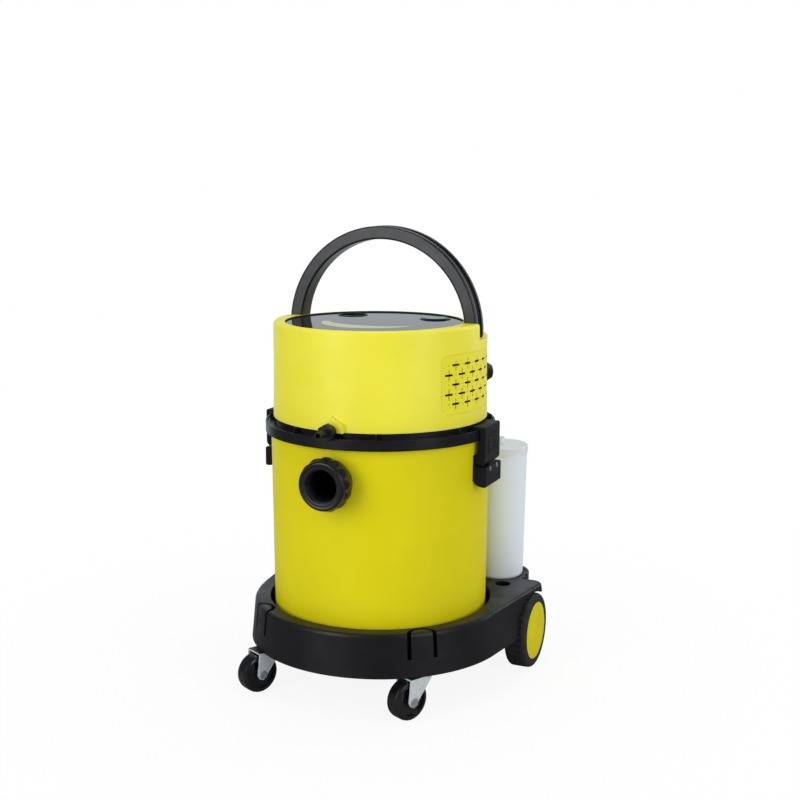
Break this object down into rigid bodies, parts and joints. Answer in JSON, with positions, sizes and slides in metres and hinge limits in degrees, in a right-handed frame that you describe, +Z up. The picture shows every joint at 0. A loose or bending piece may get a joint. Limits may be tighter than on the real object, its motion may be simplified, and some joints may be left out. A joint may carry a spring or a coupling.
{
  "type": "spot extractor",
  "caption": "Wheeled wet pick-up drum with a lift-off suction head, arched handle, hose inlet, latches and a solution bottle on the trolley deck.",
  "frame": {"origin": "on the floor, at the centre of the footprint", "axes": "+Z up; -Y is the front, where the hose inlet and the solution outlet are; the two drive wheels and the bottle are at the rear; the bottle is on the +X side"},
  "size_m": [0.383, 0.3734, 0.6],
  "materials": {
    "black_moulding": "fine moulded texture, slightly glossy rim",
    "bright_steel": "bright turned steel",
    "spring_steel": "dark spring steel",
    "tyre_rubber": "ribbed black rubber",
    "wheel_rim": "moulded black plastic",
    "yellow_cap": "yellow gloss",
    "zinc_plate": "zinc plated pressed steel",
    "caster_black": "hard black plastic tread",
    "yellow_drum": "satin yellow moulding",
    "black_collar": "satin black",
    "screw_steel": "plated screws",
    "gasket_rubber": "matt seal",
    "black_head_base": "satin black",
    "yellow_housing": "satin yellow moulding",
    "grey_panel": "glossy dark panel that mirrors the surroundings",
    "yellow_grille": "satin yellow insert",
    "grey_handle": "dark grey grip",
    "black_bezel": "black gloss",
    "grey_button": "glossy dark caps",
    "black_fitting": "satin black",
    "black_nut": "satin black",
    "black_latch": "satin black",
    "bottle_plastic": "translucent natural plastic",
    "bottle_lid_plastic": "satin white",
    "fan_metal": "pressed aluminium",
    "stator_core": "laminated steel core",
    "pump_body": "moulded",
    "float_cage_plastic": "moulded",
    "float_plastic": "foamed white plastic"
  },
  "bodies": {
    "chassis": {"trolley_base": "black_moulding", "rear_axle": "bright_steel", "axle_clips": "spring_steel", "drum": "yellow_drum", "drum_collar": "black_collar", "drum_screws": "screw_steel", "inlet_spigot": "black_fitting", "inlet_elbow": "black_fitting", "latch_bracket_right": "black_latch", "latch_bracket_left": "black_latch", "latch_pins": "bright_steel", "latch_screws": "screw_steel", "caster_stem_right": "zinc_plate", "caster_stem_left": "zinc_plate"},
    "hose_nut": {"inlet_nut": "black_nut"},
    "right_latch": {"latch_lever_right": "black_latch"},
    "left_latch": {"latch_lever_left": "black_latch"},
    "head": {"head_gasket": "gasket_rubber", "head_base": "black_head_base", "head_housing": "yellow_housing", "top_panel": "grey_panel", "vent_grille_right": "yellow_grille", "vent_grille_left": "yellow_grille", "vacuum_switch_bezel": "black_bezel", "pump_switch_bezel": "black_bezel", "cord_gland": "black_fitting", "solution_outlet": "black_fitting", "handle": "grey_handle", "handle_screws": "screw_steel", "head_screws": "screw_steel", "latch_catch_right": "black_latch", "latch_catch_left": "black_latch", "fan_case": "fan_metal", "motor_can": "fan_metal", "motor_stator": "stator_core", "solution_pump": "pump_body", "float_cage": "float_cage_plastic"},
    "rotor": {"motor_shaft": "bright_steel", "fan_impeller": "fan_metal"},
    "float_valve": {"float": "float_plastic"},
    "vacuum_switch": {"vacuum_rocker": "grey_button"},
    "pump_switch": {"pump_button": "grey_button"},
    "solution_bottle": {"bottle": "bottle_plastic"},
    "lid": {"bottle_lid": "bottle_lid_plastic"},
    "right_fork": {"caster_fork_right": "zinc_plate", "caster_axle_right": "bright_steel"},
    "left_fork": {"caster_fork_left": "zinc_plate", "caster_axle_left": "bright_steel"},
    "right_caster": {"caster_wheel_right": "caster_black"},
    "left_caster": {"caster_wheel_left": "caster_black"},
    "right_wheel": {"rear_tyre_right": "tyre_rubber", "rear_rim_right": "wheel_rim", "wheel_cap_right": "yellow_cap"},
    "left_wheel": {"rear_tyre_left": "tyre_rubber", "rear_rim_left": "wheel_rim", "wheel_cap_left": "yellow_cap"}
  },
  "joints": [
    {"name": "head_lift", "type": "slide", "parent": "chassis", "child": "head", "axis": [0, 0, 1], "range_m": [0, 0.08]},
    {"name": "right_latch_swing", "type": "hinge", "parent": "chassis", "child": "right_latch", "pos_m": [0.1484, -0.00675, 0.311], "axis": [0, 1, 0], "range_deg": [0, 50]},
    {"name": "left_latch_swing", "type": "hinge", "parent": "chassis", "child": "left_latch", "pos_m": [-0.1484, -0.00675, 0.311], "axis": [0, -1, 0], "range_deg": [0, 50]},
    {"name": "motor_spin", "type": "hinge", "parent": "head", "child": "rotor", "pos_m": [0, -0.00675, 0.4], "axis": [0, 0, 1], "continuous": true},
    {"name": "float_rise", "type": "slide", "parent": "head", "child": "float_valve", "axis": [0, 0, 1], "range_m": [0, 0.022]},
    {"name": "vacuum_rock", "type": "hinge", "parent": "head", "child": "vacuum_switch", "pos_m": [-0.06, 0.03525, 0.4724], "axis": [1, 0, 0], "range_deg": [0, 16]},
    {"name": "pump_press", "type": "slide", "parent": "head", "child": "pump_switch", "axis": [0, 0, -1], "range_m": [0, 0.0025], "stiffness_N_per_m": 800, "springref_m": -0.001},
    {"name": "bottle_lift", "type": "slide", "parent": "chassis", "child": "solution_bottle", "axis": [0, 0, 1], "range_m": [0, 0.06]},
    {"name": "lid_turn", "type": "hinge", "parent": "solution_bottle", "child": "lid", "pos_m": [0.1155, 0.14375, 0.29], "axis": [0, 0, 1], "range_deg": [0, 360]},
    {"name": "nut_turn", "type": "hinge", "parent": "chassis", "child": "hose_nut", "pos_m": [0, -0.165, 0.294], "axis": [0, -1, 0], "range_deg": [0, 360]},
    {"name": "right_swivel", "type": "hinge", "parent": "chassis", "child": "right_fork", "pos_m": [0.1064, -0.12287, 0.0535], "axis": [0, 0, 1], "continuous": true},
    {"name": "left_swivel", "type": "hinge", "parent": "chassis", "child": "left_fork", "pos_m": [-0.1064, -0.12287, 0.0535], "axis": [0, 0, 1], "continuous": true},
    {"name": "right_caster_roll", "type": "hinge", "parent": "right_fork", "child": "right_caster", "pos_m": [0.09733, -0.14069, 0.0255], "axis": [0.891, -0.454, 0], "continuous": true},
    {"name": "left_caster_roll", "type": "hinge", "parent": "left_fork", "child": "left_caster", "pos_m": [-0.11549, -0.14069, 0.0255], "axis": [0.891, -0.454, 0], "continuous": true},
    {"name": "right_wheel_roll", "type": "hinge", "parent": "chassis", "child": "right_wheel", "pos_m": [0.174, 0.09225, 0.0508], "axis": [1, 0, 0], "continuous": true},
    {"name": "left_wheel_roll", "type": "hinge", "parent": "chassis", "child": "left_wheel", "pos_m": [-0.174, 0.09225, 0.0508], "axis": [1, 0, 0], "continuous": true}
  ],
  "couplings": [
    {"joint": "right_latch_swing", "follows": "head_lift", "rad_per_m": 10.9},
    {"joint": "left_latch_swing", "follows": "head_lift", "rad_per_m": 10.9}
  ]
}
